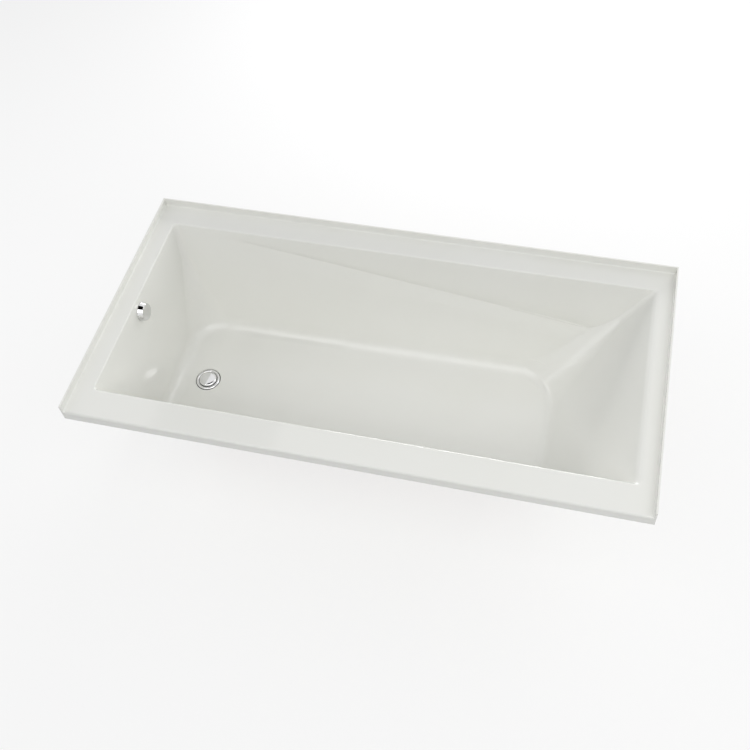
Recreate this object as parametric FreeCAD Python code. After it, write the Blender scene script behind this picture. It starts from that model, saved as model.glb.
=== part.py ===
"""Alcove bathtub: acrylic basin with tile flange, timber and foot frame, cable-driven pop-up waste.

Millimetres.  +X runs from the drain end to the backrest end, +Y from the front lip to the back wall,
+Z up.  The origin is on the floor, below the middle of the tub.
"""
import FreeCAD, Part
import math
import os

# ---- outer size ------------------------------------------------------------------------------------
TUB_LENGTH = 1520.8           # 59 7/8 in
TUB_WIDTH = 762.0             # 30 in
DECK_HEIGHT = 482.6           # floor to deck, 19 in
FLANGE_RISE = 25.4            # tile flange above the deck, 1 in
LIP_DROP = 30.0               # front lip below the deck
LIP_ROLL = 6.0                # outer radius between deck and lip
FLANGE_FOOT = 5.0             # hollow radius between deck and flange
SHEET = 4.0                   # acrylic sheet
LAMINATE = 4.0                # glass fibre laminate behind it

# ---- deck widths round the basin -------------------------------------------------------------------
DECK_DRAIN_END = 54.0
DECK_BACKREST_END = 50.8
DECK_FRONT = 84.0
DECK_BACK = 73.0

# ---- basin -----------------------------------------------------------------------------------------
DRAIN_DEPTH = 355.0           # deck to the flat landing of the drain
FLOOR_FALL = 0.55             # degrees, down towards the drain
END_WALL_SLOPE = 7.0          # degrees from upright
BACKREST_SLOPE = 34.7
SIDE_WALL_SLOPE = 14.6
CORNER_RIM = 12.0             # plan radius of the basin corners at the deck
CORNER_KNEE_DEPTH = 115.0     # down to here the corners stay tight
CORNER_KNEE = 18.0
CORNER_DRAIN_END = 110.0      # plan radius of the corners at the floor
CORNER_BACKREST_END = 145.0
FLOOR_ROUND = 42.0            # radius between floor and walls
RIM_ROUND = 5.0               # radius between deck and walls
BACKREST_ROLL = 30.0          # radius between deck and backrest

# ---- armrests: a band under the rim that rolls upright and ends in a falling crease ----------------
ARMREST_FALL = 7.6            # degrees, the crease falls towards the backrest
ARMREST_SLOPE = 12.0          # degrees from upright, the band under the rim
ARMREST_START = 195.0         # where the crease begins, from the drain end
ARMREST_FADE = 150.0          # length over which it grows to its full strength
ARMREST_APEX = 11.0           # where the crease line would meet the deck
ARMREST_TURN = 0.74           # depth where the band starts to roll upright, in crease depths
LOWER_WALL_FOOT = 300.0       # depth where the wall below the crease meets the side wall
ARMREST_EASE = 1.0            # how far the band's eased corners pass its walls

# ---- timber frame ----------------------------------------------------------------------------------
BOARD_THICK = 16.0
BOARD_START = 252.0           # from the drain end
BOARD_END = 1205.0
BOARD_WIDTH = 392.0
RAIL_WIDTH = 64.0
RAIL_LENGTH = 350.0
RAIL_UNDERSIDE = 62.0         # above the floor
RAIL_PLACES = {"drain_end": 300.0, "middle": 715.0, "backrest_end": 1130.0}
RIM_BOARD_THICK = 12.0
RIM_BOARD_GAP = 6.0           # from the rim board to lip, flange and basin wall
RIM_BOARD_LENGTH = 1380.0

SCREW_RADIUS = 2.25
SCREW_HEAD_RADIUS = 4.5
SCREW_HEAD_HEIGHT = 3.0
SCREW_LENGTH = 46.0
SCREW_PITCH = 100.0
SCREWS_PER_RAIL = 4

# ---- levelling feet --------------------------------------------------------------------------------
FOOT_SPACING = 238.0          # across the tub
STUD_RADIUS = 5.0             # M10
STUD_LENGTH = 94.0
THREAD_CLEARANCE = 0.05
PAD_RADIUS = 25.0
PAD_RIM_HEIGHT = 7.0
PAD_HEIGHT = 20.0
PAD_BOSS_RADIUS = 11.0
PAD_SOCKET_DEPTH = 12.0
NUT_ACROSS_FLATS = 17.0
NUT_HEIGHT = 8.0
TEE_FLANGE_RADIUS = 12.0
TEE_FLANGE_THICK = 1.6
TEE_BARREL_RADIUS = 6.5
TEE_BARREL_LENGTH = 13.0

# ---- drain -----------------------------------------------------------------------------------------
DRAIN_PLACE = 194.0           # from the drain end
DRAIN_HOLE_RADIUS = 26.0
DRAIN_LANDING_RADIUS = 39.0   # flat round landing sunk in the floor
DRAIN_LANDING_DEPTH = 2.0
DRAIN_FLANGE_RADIUS = 36.5
DRAIN_CREST_RADIUS = 32.0
DRAIN_CREST_HEIGHT = 3.4
DRAIN_SEAT_RADIUS = 27.6
DRAIN_BORE_RADIUS = 20.5
DRAIN_BARREL_RADIUS = 23.0
DRAIN_BARREL_LENGTH = 30.0
FLANGE_SEAL_THICK = 1.0
CROSS_BAR_WIDTH = 3.5
CROSS_BAR_HEIGHT = 6.0
HUB_RADIUS = 7.0
GASKET_THICK = 3.0
GASKET_RADIUS = 38.0
STOPPER_RADIUS = 26.6
STOPPER_DOME = 4.2
STOPPER_EDGE = 1.6
STOPPER_SEAL_THICK = 2.0
STEM_RADIUS = 4.0
PIN_RADIUS = 3.5
SLIDE_CLEARANCE = 0.05
STOPPER_TRAVEL = 9.0

# ---- pipes -----------------------------------------------------------------------------------------
PIPE_RADIUS = 19.05           # 1 1/2 in tube
PIPE_WALL = 1.8
SOCKET_RADIUS = 22.5
SOCKET_DEPTH = 20.0
ARM_HEIGHT = 66.0             # centre of the level arm above the floor
RISER_PLACE = 27.0            # centre of the riser from the drain end
SHOE_RADIUS = 27.0
SHOE_FLOOR = 5.5
TEE_REACH = 40.0              # from the tee's centre to its branch ends
SLIP_NUT_RADIUS = 26.0
SLIP_NUT_HEIGHT = 16.0
SLIP_NUT_RIBS = 8
SLIP_NUT_LIP = 3.0
SLIP_WASHER_THICK = 3.0
TAIL_CLEARANCE = 4.0          # tail pipe's end above the floor
TAIL_COLLAR = 2.5             # stop ring of the tail pipe below the tee

# ---- overflow --------------------------------------------------------------------------------------
OVERFLOW_DEPTH = 46.0         # deck to its centre
OVERFLOW_HOLE_RADIUS = 22.0
OVERFLOW_BODY_RADIUS = 32.0
OVERFLOW_FLANGE_THICK = 4.0
OVERFLOW_PLATE_RADIUS = 24.5
OVERFLOW_PLATE_THICK = 2.5
KNOB_BASE_RADIUS = 28.0
KNOB_FACE_RADIUS = 23.5
KNOB_DEPTH = 16.0
KNOB_GAP = 1.2                # knob's rim to the basin wall
KNOB_WALL = 1.8
KNOB_EDGE = 1.5
KNOB_TURN = 90.0
SPINDLE_RADIUS = 5.0
SPINDLE_CRANK = 11.0
SPINDLE_HUB = 7.5
OVERFLOW_SCREW_RADIUS = 2.0
OVERFLOW_SCREW_CIRCLE = 16.0
OVERFLOW_SCREW_HOLD = 10.0    # length held in the overflow body's bosses

# ---- cable -----------------------------------------------------------------------------------------
CABLE_RADIUS = 3.0
CABLE_SIDE = 36.0             # from the riser's centre to the cable
CABLE_HEIGHT = 26.0           # centre of its level run above the floor
CABLE_GUIDE_RADIUS = 6.0
CABLE_LEVEL_RUN = 68.0        # from the riser until it bends in towards the elbow
CABLE_LEAD_IN = 40.0          # straight run into the elbow

UP = FreeCAD.Vector(0, 0, 1)
ALONG = FreeCAD.Vector(1, 0, 0)
ACROSS = FreeCAD.Vector(0, 1, 0)


def point(x, y, z):
    return FreeCAD.Vector(x, y, z)


def from_drain_end(distance):
    return distance - TUB_LENGTH / 2


def from_front(distance):
    return distance - TUB_WIDTH / 2


def tangent(degrees):
    return math.tan(math.radians(degrees))


def cosine(degrees):
    return math.cos(math.radians(degrees))


CENTRE_LINE = from_front((DECK_FRONT + TUB_WIDTH - DECK_BACK) / 2)
DRAIN_X = from_drain_end(DRAIN_PLACE)
DRAIN_FLOOR = DECK_HEIGHT - DRAIN_DEPTH
RISER_X = from_drain_end(RISER_PLACE)
WALL = SHEET + LAMINATE


# ---- plain solids ----------------------------------------------------------------------------------
def block(x0, x1, y0, y1, z0, z1):
    return Part.makeBox(x1 - x0, y1 - y0, z1 - z0, point(x0, y0, z0))


def rod(radius, z0, z1, x=0.0, y=0.0):
    return Part.makeCylinder(radius, z1 - z0, point(x, y, z0), UP)


def sleeve(outer, inner, z0, z1, x=0.0, y=0.0):
    return rod(outer, z0, z1, x, y).cut(rod(inner, z0 - 1, z1 + 1, x, y))


def turned(profile):
    """Solid of revolution about Z from (radius, height) points."""
    corners = [point(radius, 0, height) for radius, height in profile]
    face = Part.Face(Part.makePolygon(corners + corners[:1]))
    return face.revolve(point(0, 0, 0), UP, 360)


def hexagon(across_flats, z0, z1, x=0.0, y=0.0):
    reach = across_flats / 2 / cosine(30)
    corners = [point(x + reach * math.cos(math.radians(60 * k)),
                     y + reach * math.sin(math.radians(60 * k)), z0) for k in range(6)]
    return Part.Face(Part.makePolygon(corners + corners[:1])).extrude(UP * (z1 - z0))


def fused(shapes):
    body = shapes[0]
    for shape in shapes[1:]:
        body = body.fuse(shape)
    return body.removeSplitter()


def moved(shape, x, y, z):
    copy = shape.copy()
    copy.translate(point(x, y, z))
    return copy


def along_x(shape, x, y, z):
    """A copy of a solid built along Z, turned to run along +X from the given point."""
    copy = shape.copy()
    copy.rotate(point(0, 0, 0), ACROSS, 90)
    copy.translate(point(x, y, z))
    return copy


# ---- the basin's inner surface, and the same surface pushed outwards -------------------------------
def floor_height(x, grow):
    """Height of the floor, pushed down by grow, at x."""
    level = DRAIN_FLOOR + DRAIN_LANDING_DEPTH
    return level + (x - DRAIN_X) * tangent(FLOOR_FALL) - grow / cosine(FLOOR_FALL)


def wall_places(depth, grow):
    """Left, right, front and back wall at a depth under the deck, pushed outwards by grow."""
    left = from_drain_end(DECK_DRAIN_END)
    right = TUB_LENGTH / 2 - DECK_BACKREST_END
    front = from_front(DECK_FRONT)
    back = TUB_WIDTH / 2 - DECK_BACK
    return (left + depth * tangent(END_WALL_SLOPE) - grow / cosine(END_WALL_SLOPE),
            right - depth * tangent(BACKREST_SLOPE) + grow / cosine(BACKREST_SLOPE),
            front + depth * tangent(SIDE_WALL_SLOPE) - grow / cosine(SIDE_WALL_SLOPE),
            back - depth * tangent(SIDE_WALL_SLOPE) + grow / cosine(SIDE_WALL_SLOPE))


def corner_radii(depth, grow):
    """Plan radii of the drain end's and the backrest end's corners at a depth under the deck."""
    radii = []
    for at_floor in (CORNER_DRAIN_END, CORNER_BACKREST_END):
        if depth < CORNER_KNEE_DEPTH:
            share = depth / CORNER_KNEE_DEPTH
            radii.append(CORNER_RIM + (CORNER_KNEE - CORNER_RIM) * share + grow)
        else:
            share = (depth - CORNER_KNEE_DEPTH) / (DRAIN_DEPTH - CORNER_KNEE_DEPTH)
            radii.append(CORNER_KNEE + (at_floor - CORNER_KNEE) * share + grow)
    return radii


def rounded_rectangle(places, radii, height):
    """Level outline between four wall places, with one radius at the left and one at the right."""
    left, right, front, back = places
    near_left, near_right = radii
    corners = ((right - near_right, front + near_right, near_right, -90),
               (right - near_right, back - near_right, near_right, 0),
               (left + near_left, back - near_left, near_left, 90),
               (left + near_left, front + near_left, near_left, 180))
    arcs = []
    for x, y, radius, start in corners:
        arcs.append([point(x + radius * math.cos(math.radians(start + turn)),
                           y + radius * math.sin(math.radians(start + turn)), height)
                     for turn in (0, 45, 90)])
    edges = []
    for k, ends in enumerate(arcs):
        following = arcs[(k + 1) % 4]
        edges.append(Part.Arc(*ends).toShape())
        edges.append(Part.makeLine(ends[2], following[0]))
    return Part.Wire(edges)


def rim_lean(depth, grow):
    """How far each wall leans out at a depth under the pushed deck, because its rim is rounded."""
    lean = []
    sides = ((END_WALL_SLOPE, RIM_ROUND), (BACKREST_SLOPE, BACKREST_ROLL),
             (SIDE_WALL_SLOPE, RIM_ROUND), (SIDE_WALL_SLOPE, RIM_ROUND))
    for slope, rounding in sides:
        radius = max(rounding - grow, 0.0)
        reach = radius * tangent((90 - slope) / 2)
        if depth < reach * cosine(slope):
            arc = reach - math.sqrt(radius ** 2 - (radius - depth) ** 2)
            lean.append(arc + depth * tangent(slope))
        else:
            lean.append(0.0)
    return lean


def rim_roll(grow, rise):
    """The rounded mouth of the basin, as a stack of level outlines."""
    steps = 4
    depths = {0.0}
    for slope, rounding in ((SIDE_WALL_SLOPE, RIM_ROUND), (BACKREST_SLOPE, BACKREST_ROLL)):
        radius = rounding - grow
        if radius > 0:
            turn = 90 - slope
            depths |= {radius * (1 - cosine(turn * k / steps)) for k in range(1, steps + 1)}
    outlines = []
    for depth in sorted(depths):
        left, right, front, back = wall_places(depth + grow, grow)
        lean = rim_lean(depth, grow)
        places = (left - lean[0], right + lean[1], front - lean[2], back + lean[3])
        radii = [radius + min(lean) for radius in corner_radii(depth + grow, grow)]
        outlines.append(rounded_rectangle(places, radii, DECK_HEIGHT - grow - depth))
    if rise > 0:
        outlines.insert(0, moved(outlines[0], 0, 0, rise))
    return Part.makeLoft(outlines, True, True)


def tapering_well(grow, depths, eases):
    """Hollow with sloping walls, as a stack of level outlines; ease widens its sides and corners."""
    outlines = []
    for depth, ease in zip(depths, eases):
        left, right, front, back = wall_places(depth, grow)
        radii = [radius + ease for radius in corner_radii(depth, grow)]
        outlines.append(rounded_rectangle((left, right, front - ease, back + ease), radii,
                                          DECK_HEIGHT - depth))
    return Part.makeLoft(outlines, True, True)


def crease_depth_at(x):
    return (x - from_drain_end(ARMREST_APEX)) * tangent(ARMREST_FALL)


def armrest_lines(crease, strength):
    """Depth where the band turns, and how far the turn and the crease lie in from the rim."""
    slope = SIDE_WALL_SLOPE + (ARMREST_SLOPE - SIDE_WALL_SLOPE) * strength
    chord_slope = SIDE_WALL_SLOPE + (ARMREST_SLOPE / 2 - SIDE_WALL_SLOPE) * strength
    turn = crease * ARMREST_TURN
    turn_inset = turn * tangent(slope)
    crease_inset = turn_inset + (crease - turn) * tangent(chord_slope)
    return slope, chord_slope, turn, turn_inset, crease_inset


def armrest_section(x, strength, side, grow, rise):
    """Upright outline across the tub at x of the space that one armrest adds to the basin."""
    crease = crease_depth_at(x)
    slope, chord_slope, turn, turn_inset, crease_inset = armrest_lines(crease, strength)
    foot_inset = LOWER_WALL_FOOT * tangent(SIDE_WALL_SLOPE)
    lean = math.atan2(foot_inset - crease_inset, LOWER_WALL_FOOT - crease)

    top_depth = grow - rise
    top_inset = top_depth * tangent(slope) - grow / cosine(slope)
    turn_depth = turn + grow * math.sin(math.radians(slope))
    turn_inset -= grow * cosine(slope)
    crease_depth = crease + grow * math.tan(lean / 2)
    crease_inset -= grow
    foot_depth = LOWER_WALL_FOOT + grow * math.sin(lean)
    foot_inset = foot_depth * tangent(SIDE_WALL_SLOPE) - grow / cosine(SIDE_WALL_SLOPE)
    inside = foot_inset + 2 * WALL

    fall = crease_depth - turn_depth
    inward = crease_inset - turn_inset
    swell = tangent((slope - chord_slope) / 2) / 2
    middle_depth = (turn_depth + crease_depth) / 2 - swell * inward
    middle_inset = (turn_inset + crease_inset) / 2 + swell * fall
    rim = TUB_WIDTH / 2 - DECK_BACK if side > 0 else DECK_FRONT - TUB_WIDTH / 2

    def at(inset, depth):
        return point(x, rim - side * inset, DECK_HEIGHT - depth)

    edges = [Part.makeLine(at(top_inset, top_depth), at(turn_inset, turn_depth)),
             Part.Arc(at(turn_inset, turn_depth), at(middle_inset, middle_depth),
                      at(crease_inset, crease_depth)).toShape(),
             Part.makeLine(at(crease_inset, crease_depth), at(foot_inset, foot_depth)),
             Part.makeLine(at(foot_inset, foot_depth), at(inside, foot_depth)),
             Part.makeLine(at(inside, foot_depth), at(inside, top_depth)),
             Part.makeLine(at(inside, top_depth), at(top_inset, top_depth))]
    return Part.Wire(edges)


def armrest_space(side, grow, rise):
    """Space over one armrest, from its fine start to the backrest, with eased corners."""
    start = from_drain_end(ARMREST_START)
    end = wall_places(0, grow)[1]
    faint = 0.1
    stations = ((start, faint), (start + ARMREST_FADE, 1.0), (end, 1.0))
    space = Part.makeLoft([armrest_section(x, strength, side, grow, rise)
                           for x, strength in stations], True, True)
    deepest = crease_depth_at(end)
    relief = deepest * tangent(SIDE_WALL_SLOPE) - armrest_lines(deepest, 1.0)[-1]
    knee_relief = relief * CORNER_KNEE_DEPTH / deepest
    limit = tapering_well(grow, (grow - rise, CORNER_KNEE_DEPTH, deepest, LOWER_WALL_FOOT + grow),
                          (ARMREST_EASE, ARMREST_EASE + knee_relief, ARMREST_EASE + relief,
                           ARMREST_EASE))
    return space.common(limit)


def basin(grow, rise):
    """The basin's hollow pushed outwards by grow; it passes the pushed deck by rise."""
    well = tapering_well(grow, (grow, CORNER_KNEE_DEPTH, DRAIN_DEPTH * 1.15), (0.0, 0.0, 0.0))
    reach = TUB_LENGTH
    corners = [point(-reach, -reach, floor_height(-reach, grow)),
               point(reach, -reach, floor_height(reach, grow)),
               point(reach, -reach, -reach), point(-reach, -reach, -reach)]
    ground = Part.Face(Part.makePolygon(corners + corners[:1])).extrude(ACROSS * 2 * reach)
    well = well.cut(ground)
    low = [edge for edge in well.Edges
           if abs(edge.CenterOfMass.z - floor_height(edge.CenterOfMass.x, grow)) < 0.5]
    body = well.makeFillet(FLOOR_ROUND + grow, low)
    extras = [rim_roll(grow, rise)]
    extras += [armrest_space(side, grow, rise) for side in (-1, 1)]
    extras.append(rod(DRAIN_LANDING_RADIUS + grow, DRAIN_FLOOR - grow, DRAIN_FLOOR + FLOOR_ROUND,
                      DRAIN_X, CENTRE_LINE))
    for extra in extras:
        body = body.fuse(extra)
    return body


# ---- tub -------------------------------------------------------------------------------------------
def deck_sheet():
    """Deck, front lip and back flange as one section run along the tub, then the two end flanges."""
    front = -TUB_WIDTH / 2
    back = TUB_WIDTH / 2
    top = DECK_HEIGHT
    crest = top + FLANGE_RISE
    bend = LIP_ROLL * (1 - cosine(45))
    inner = LIP_ROLL - SHEET
    inner_bend = inner * (1 - cosine(45))
    foot = FLANGE_FOOT
    foot_bend = foot * (1 - cosine(45))
    x = -TUB_LENGTH / 2

    def at(y, z):
        return point(x, y, z)

    edges = [
        Part.makeLine(at(front, top - LIP_DROP), at(front, top - LIP_ROLL)),
        Part.Arc(at(front, top - LIP_ROLL), at(front + bend, top - bend),
                 at(front + LIP_ROLL, top)).toShape(),
        Part.makeLine(at(front + LIP_ROLL, top), at(back - SHEET - foot, top)),
        Part.Arc(at(back - SHEET - foot, top), at(back - SHEET - foot_bend, top + foot_bend),
                 at(back - SHEET, top + foot)).toShape(),
        Part.makeLine(at(back - SHEET, top + foot), at(back - SHEET, crest)),
        Part.makeLine(at(back - SHEET, crest), at(back, crest)),
        Part.makeLine(at(back, crest), at(back, top - SHEET)),
        Part.makeLine(at(back, top - SHEET), at(front + LIP_ROLL, top - SHEET)),
        Part.Arc(at(front + LIP_ROLL, top - SHEET),
                 at(front + SHEET + inner_bend, top - SHEET - inner_bend),
                 at(front + SHEET, top - LIP_ROLL)).toShape(),
        Part.makeLine(at(front + SHEET, top - LIP_ROLL), at(front + SHEET, top - LIP_DROP)),
        Part.makeLine(at(front + SHEET, top - LIP_DROP), at(front, top - LIP_DROP)),
    ]
    run = Part.Face(Part.Wire(edges)).extrude(ALONG * TUB_LENGTH)

    flanges = []
    for end in (-1, 1):
        outer = end * TUB_LENGTH / 2
        face = outer - end * SHEET
        toe = face - end * foot

        def beside(across, z):
            return point(across, front, z)

        outline = [
            Part.makeLine(beside(outer, top - SHEET), beside(outer, crest)),
            Part.makeLine(beside(outer, crest), beside(face, crest)),
            Part.makeLine(beside(face, crest), beside(face, top + foot)),
            Part.Arc(beside(face, top + foot), beside(face - end * foot_bend, top + foot_bend),
                     beside(toe, top)).toShape(),
            Part.makeLine(beside(toe, top), beside(toe, top - SHEET)),
            Part.makeLine(beside(toe, top - SHEET), beside(outer, top - SHEET)),
        ]
        flanges.append(Part.Face(Part.Wire(outline)).extrude(ACROSS * TUB_WIDTH))
    return run, flanges


def drain_hole(radius, depth):
    return rod(radius, DRAIN_FLOOR - depth, DRAIN_FLOOR + DRAIN_CREST_RADIUS, DRAIN_X, CENTRE_LINE)


def on_overflow(shape):
    """Put a solid built along Z on the drain end wall: its Z runs square to the wall, into the basin."""
    copy = shape.copy()
    copy.rotate(point(0, 0, 0), ACROSS, 90 - END_WALL_SLOPE)
    copy.translate(point(wall_places(OVERFLOW_DEPTH, 0)[0], CENTRE_LINE,
                         DECK_HEIGHT - OVERFLOW_DEPTH))
    return copy


def tub_shell():
    run, flanges = deck_sheet()
    body = run
    for flange in flanges:
        body = body.fuse(flange)
    body = body.fuse(basin(SHEET, 0.0))
    body = body.cut(basin(0.0, 1.0))
    body = body.cut(drain_hole(DRAIN_HOLE_RADIUS, 3 * WALL))
    body = body.cut(on_overflow(rod(OVERFLOW_HOLE_RADIUS, -3 * WALL, 3 * WALL)))
    return body.removeSplitter()


def fibreglass_backing():
    gap = 1.0
    edge = SHEET + gap
    layer = block(-TUB_LENGTH / 2 + edge, TUB_LENGTH / 2 - edge,
                  -TUB_WIDTH / 2 + LIP_ROLL + gap, TUB_WIDTH / 2 - edge,
                  DECK_HEIGHT - WALL, DECK_HEIGHT - SHEET)
    body = layer.fuse(basin(WALL, 0.0))
    body = body.cut(basin(SHEET, 1.0))
    body = body.cut(drain_hole(DRAIN_HOLE_RADIUS, 3 * WALL))
    body = body.cut(on_overflow(rod(OVERFLOW_HOLE_RADIUS, -3 * WALL, 3 * WALL)))
    return body.removeSplitter()


# ---- timber ----------------------------------------------------------------------------------------
def board_underside(x):
    return floor_height(x, WALL) - BOARD_THICK / cosine(FLOOR_FALL)


def lengthwise_prism(corners, y0, y1):
    outline = [point(x, y0, z) for x, z in corners]
    return Part.Face(Part.makePolygon(outline + outline[:1])).extrude(ACROSS * (y1 - y0))


def screw_places():
    first = CENTRE_LINE - SCREW_PITCH * (SCREWS_PER_RAIL - 1) / 2
    return [first + SCREW_PITCH * k for k in range(SCREWS_PER_RAIL)]


def rail_screw(x, y):
    head = Part.makeCone(SCREW_HEAD_RADIUS, SCREW_RADIUS, SCREW_HEAD_HEIGHT,
                         point(x, y, RAIL_UNDERSIDE), UP)
    return head.fuse(rod(SCREW_RADIUS, RAIL_UNDERSIDE, RAIL_UNDERSIDE + SCREW_LENGTH, x, y))


def all_rail_screws():
    return [rail_screw(from_drain_end(place), y)
            for place in RAIL_PLACES.values() for y in screw_places()]


def base_board(screws):
    x0 = from_drain_end(BOARD_START)
    x1 = from_drain_end(BOARD_END)
    corners = [(x0, floor_height(x0, WALL)), (x1, floor_height(x1, WALL)),
               (x1, board_underside(x1)), (x0, board_underside(x0))]
    board = lengthwise_prism(corners, CENTRE_LINE - BOARD_WIDTH / 2, CENTRE_LINE + BOARD_WIDTH / 2)
    return board.cut(Part.makeCompound(screws))


def foot_places():
    return [(from_drain_end(place), CENTRE_LINE + side * FOOT_SPACING / 2)
            for place in RAIL_PLACES.values() for side in (-1, 1)]


def cross_rail(place, screws):
    centre = from_drain_end(place)
    x0 = centre - RAIL_WIDTH / 2
    x1 = centre + RAIL_WIDTH / 2
    corners = [(x0, RAIL_UNDERSIDE), (x1, RAIL_UNDERSIDE), (x1, board_underside(x1)),
               (x0, board_underside(x0))]
    rail = lengthwise_prism(corners, CENTRE_LINE - RAIL_LENGTH / 2, CENTRE_LINE + RAIL_LENGTH / 2)
    for side in (-1, 1):
        y = CENTRE_LINE + side * FOOT_SPACING / 2
        rail = rail.cut(rod(TEE_BARREL_RADIUS, 0, DECK_HEIGHT, centre, y))
    return rail.cut(Part.makeCompound(screws))


def rim_board(side):
    """Stiffener bonded under the deck, at the front for side -1 and at the back for side 1."""
    depth = WALL + RIM_BOARD_THICK
    if side < 0:
        outer = -TUB_WIDTH / 2 + LIP_ROLL + RIM_BOARD_GAP
        inner = wall_places(WALL, WALL)[2] - RIM_BOARD_GAP
    else:
        outer = TUB_WIDTH / 2 - SHEET - RIM_BOARD_GAP
        inner = TUB_WIDTH / 2 - DECK_BACK + WALL + RIM_BOARD_GAP
    return block(-RIM_BOARD_LENGTH / 2, RIM_BOARD_LENGTH / 2, min(outer, inner), max(outer, inner),
                 DECK_HEIGHT - depth, DECK_HEIGHT - WALL)


# ---- feet ------------------------------------------------------------------------------------------
def tee_nut(x, y):
    plate = rod(TEE_FLANGE_RADIUS, RAIL_UNDERSIDE - TEE_FLANGE_THICK, RAIL_UNDERSIDE, x, y)
    barrel = rod(TEE_BARREL_RADIUS, RAIL_UNDERSIDE - TEE_FLANGE_THICK,
                 RAIL_UNDERSIDE + TEE_BARREL_LENGTH, x, y)
    bore = rod(STUD_RADIUS + THREAD_CLEARANCE, 0, DECK_HEIGHT, x, y)
    return plate.fuse(barrel).removeSplitter().cut(bore)


def lock_nut(x, y):
    top = RAIL_UNDERSIDE - TEE_FLANGE_THICK
    nut = hexagon(NUT_ACROSS_FLATS, top - NUT_HEIGHT, top, x, y)
    corner = NUT_ACROSS_FLATS / 2 / cosine(30)
    bevel = Part.makeCone(corner - 1.0, corner - 1.0 + NUT_HEIGHT * 1.5, NUT_HEIGHT * 1.5,
                          point(x, y, top - NUT_HEIGHT), UP)
    return nut.common(bevel).cut(rod(STUD_RADIUS + THREAD_CLEARANCE, 0, DECK_HEIGHT, x, y))


def foot_stud(x, y):
    foot = PAD_HEIGHT - PAD_SOCKET_DEPTH
    stud = rod(STUD_RADIUS, foot, foot + STUD_LENGTH, x, y)
    return stud.makeChamfer(0.8, [edge for edge in stud.Edges
                                  if abs(edge.CenterOfMass.z - foot - STUD_LENGTH) < 0.01])


def foot_pad(x, y):
    profile = [(0, 0), (PAD_RADIUS - 1.5, 0), (PAD_RADIUS, 1.5), (PAD_RADIUS, PAD_RIM_HEIGHT - 2.0),
               (PAD_RADIUS - 2.0, PAD_RIM_HEIGHT), (PAD_BOSS_RADIUS + 3.0, PAD_RIM_HEIGHT + 2.0),
               (PAD_BOSS_RADIUS, PAD_HEIGHT), (STUD_RADIUS, PAD_HEIGHT),
               (STUD_RADIUS, PAD_HEIGHT - PAD_SOCKET_DEPTH), (0, PAD_HEIGHT - PAD_SOCKET_DEPTH)]
    return moved(turned(profile), x, y, 0)


# ---- drain -----------------------------------------------------------------------------------------
def flange_seal():
    return sleeve(DRAIN_FLANGE_RADIUS - 2.0, DRAIN_BARREL_RADIUS + 0.5, DRAIN_FLOOR,
                  DRAIN_FLOOR + FLANGE_SEAL_THICK, DRAIN_X, CENTRE_LINE)


def seat_height():
    return DRAIN_FLOOR + FLANGE_SEAL_THICK + 0.6


def drain_flange():
    """Ring with a rolled crest, a sunk seat for the stopper, a threaded barrel and a cross guide."""
    base = FLANGE_SEAL_THICK
    seat = base + 0.6
    bottom = base - DRAIN_BARREL_LENGTH
    ring = turned([(DRAIN_BORE_RADIUS, bottom), (DRAIN_BARREL_RADIUS, bottom),
                   (DRAIN_BARREL_RADIUS, base), (DRAIN_FLANGE_RADIUS, base),
                   (DRAIN_FLANGE_RADIUS, base + 0.6),
                   (DRAIN_FLANGE_RADIUS - 1.6, base + DRAIN_CREST_HEIGHT * 0.75),
                   (DRAIN_CREST_RADIUS, base + DRAIN_CREST_HEIGHT),
                   (DRAIN_SEAT_RADIUS + 1.2, base + DRAIN_CREST_HEIGHT * 0.7),
                   (DRAIN_SEAT_RADIUS, seat), (DRAIN_BARREL_RADIUS + 1.0, seat),
                   (DRAIN_BORE_RADIUS, seat - 3.5)])
    bars = []
    low = bottom + 2.0
    for turn in (45, 135):
        bar = block(-DRAIN_BORE_RADIUS - 1, DRAIN_BORE_RADIUS + 1, -CROSS_BAR_WIDTH / 2,
                    CROSS_BAR_WIDTH / 2, low, low + CROSS_BAR_HEIGHT)
        bar.rotate(point(0, 0, 0), UP, turn)
        bars.append(bar)
    hub = rod(HUB_RADIUS, low, low + CROSS_BAR_HEIGHT + 4.0)
    body = fused([ring] + bars + [hub])
    body = body.cut(rod(STEM_RADIUS + SLIDE_CLEARANCE, bottom - 1, seat))
    return moved(body, DRAIN_X, CENTRE_LINE, DRAIN_FLOOR)


def stopper_cap():
    edge = seat_height() + STOPPER_SEAL_THICK
    rise = STOPPER_DOME
    sphere = (STOPPER_RADIUS ** 2 + rise ** 2) / (2 * rise)
    dome = Part.makeSphere(sphere, point(0, 0, edge + STOPPER_EDGE + rise - sphere))
    disc = rod(STOPPER_RADIUS, edge, edge + STOPPER_EDGE + rise)
    cap = disc.common(dome)
    cap = cap.cut(rod(STEM_RADIUS, edge - 1, edge + STOPPER_EDGE))
    return moved(cap, DRAIN_X, CENTRE_LINE, 0)


def stopper_seal():
    return sleeve(STOPPER_RADIUS - 1.2, STEM_RADIUS, seat_height(),
                  seat_height() + STOPPER_SEAL_THICK, DRAIN_X, CENTRE_LINE)


def stem_bottom():
    return DRAIN_FLOOR + FLANGE_SEAL_THICK - DRAIN_BARREL_LENGTH - STOPPER_TRAVEL - 3.0


def stopper_stem():
    top = seat_height() + STOPPER_SEAL_THICK + STOPPER_EDGE
    return rod(STEM_RADIUS, stem_bottom(), top, DRAIN_X, CENTRE_LINE)


def lift_pin():
    return rod(PIN_RADIUS, CABLE_HEIGHT + CABLE_RADIUS + 2.0, stem_bottom(), DRAIN_X, CENTRE_LINE)


def gasket_top():
    return DRAIN_FLOOR - WALL


def drain_gasket():
    return sleeve(GASKET_RADIUS, DRAIN_BARREL_RADIUS + 0.5, gasket_top() - GASKET_THICK,
                  gasket_top(), DRAIN_X, CENTRE_LINE)


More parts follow.
